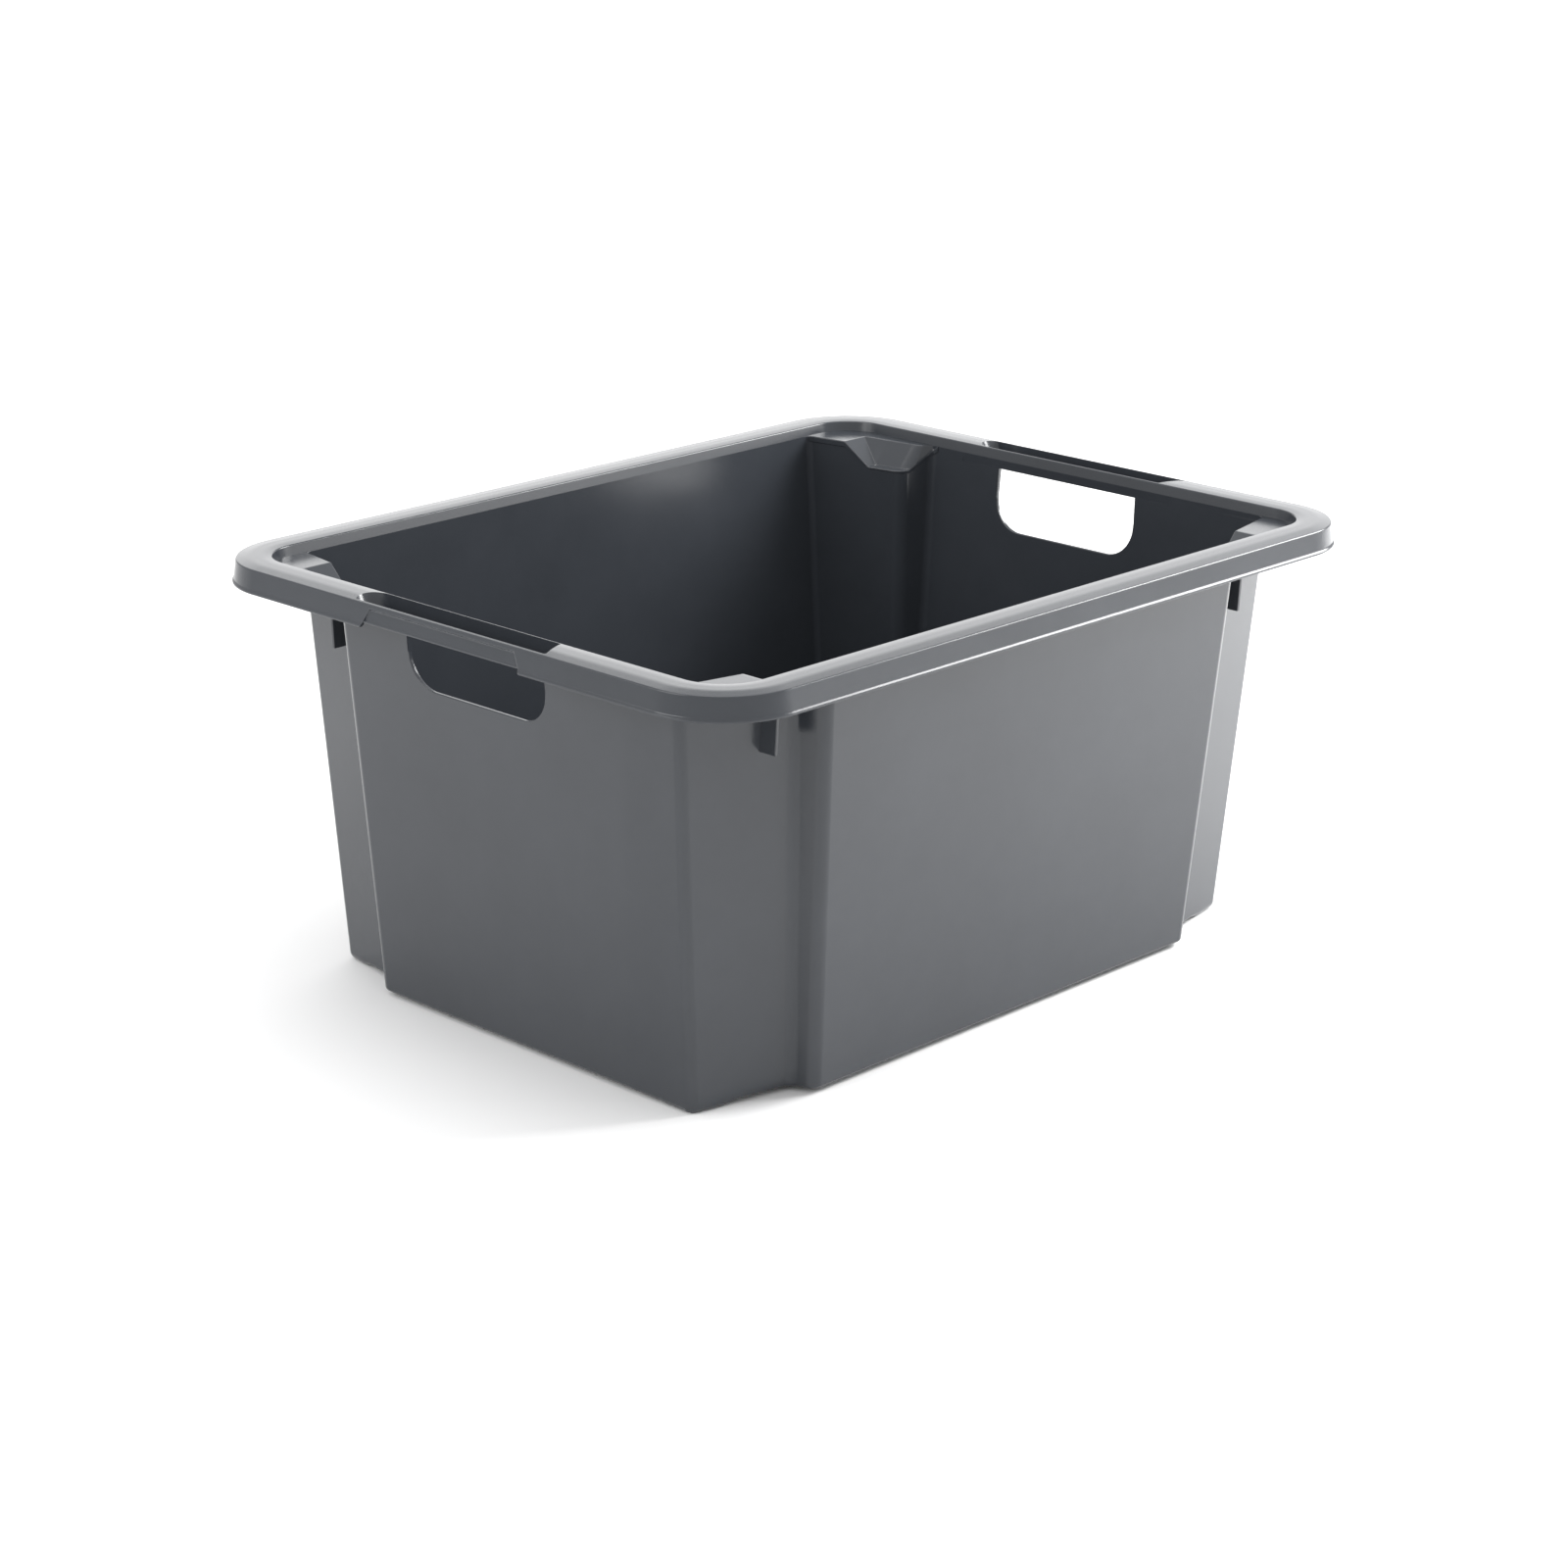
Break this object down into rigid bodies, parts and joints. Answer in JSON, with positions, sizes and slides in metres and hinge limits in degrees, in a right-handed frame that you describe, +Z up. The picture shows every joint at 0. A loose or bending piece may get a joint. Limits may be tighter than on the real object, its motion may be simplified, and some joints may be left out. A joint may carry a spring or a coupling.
{
  "type": "stacking plastic crate",
  "caption": "Open-topped tapered storage crate with a flanged rim, hand holes under trough handles, recessed corners and notched seats for nesting and stacking.",
  "frame": {"origin": "middle of the footprint, on the surface that the feet stand on", "axes": "+X along the long side, +Y from the front long side to the back long side, +Z up"},
  "size_m": [0.49, 0.389, 0.23],
  "materials": {
    "graphite_plastic": "semi-gloss moulded polypropylene, dark grey"
  },
  "bodies": {
    "root": {"base_panel": "graphite_plastic", "front_wall": "graphite_plastic", "back_wall": "graphite_plastic", "left_end_wall": "graphite_plastic", "right_end_wall": "graphite_plastic", "rim_front": "graphite_plastic", "rim_back": "graphite_plastic", "left_handle": "graphite_plastic", "right_handle": "graphite_plastic", "stacking_seat_front_left": "graphite_plastic", "stacking_seat_front_right": "graphite_plastic", "stacking_seat_back_left": "graphite_plastic", "stacking_seat_back_right": "graphite_plastic", "rib_front_left": "graphite_plastic", "rib_front_right": "graphite_plastic", "rib_back_left": "graphite_plastic", "rib_back_right": "graphite_plastic"}
  },
  "joints": []
}
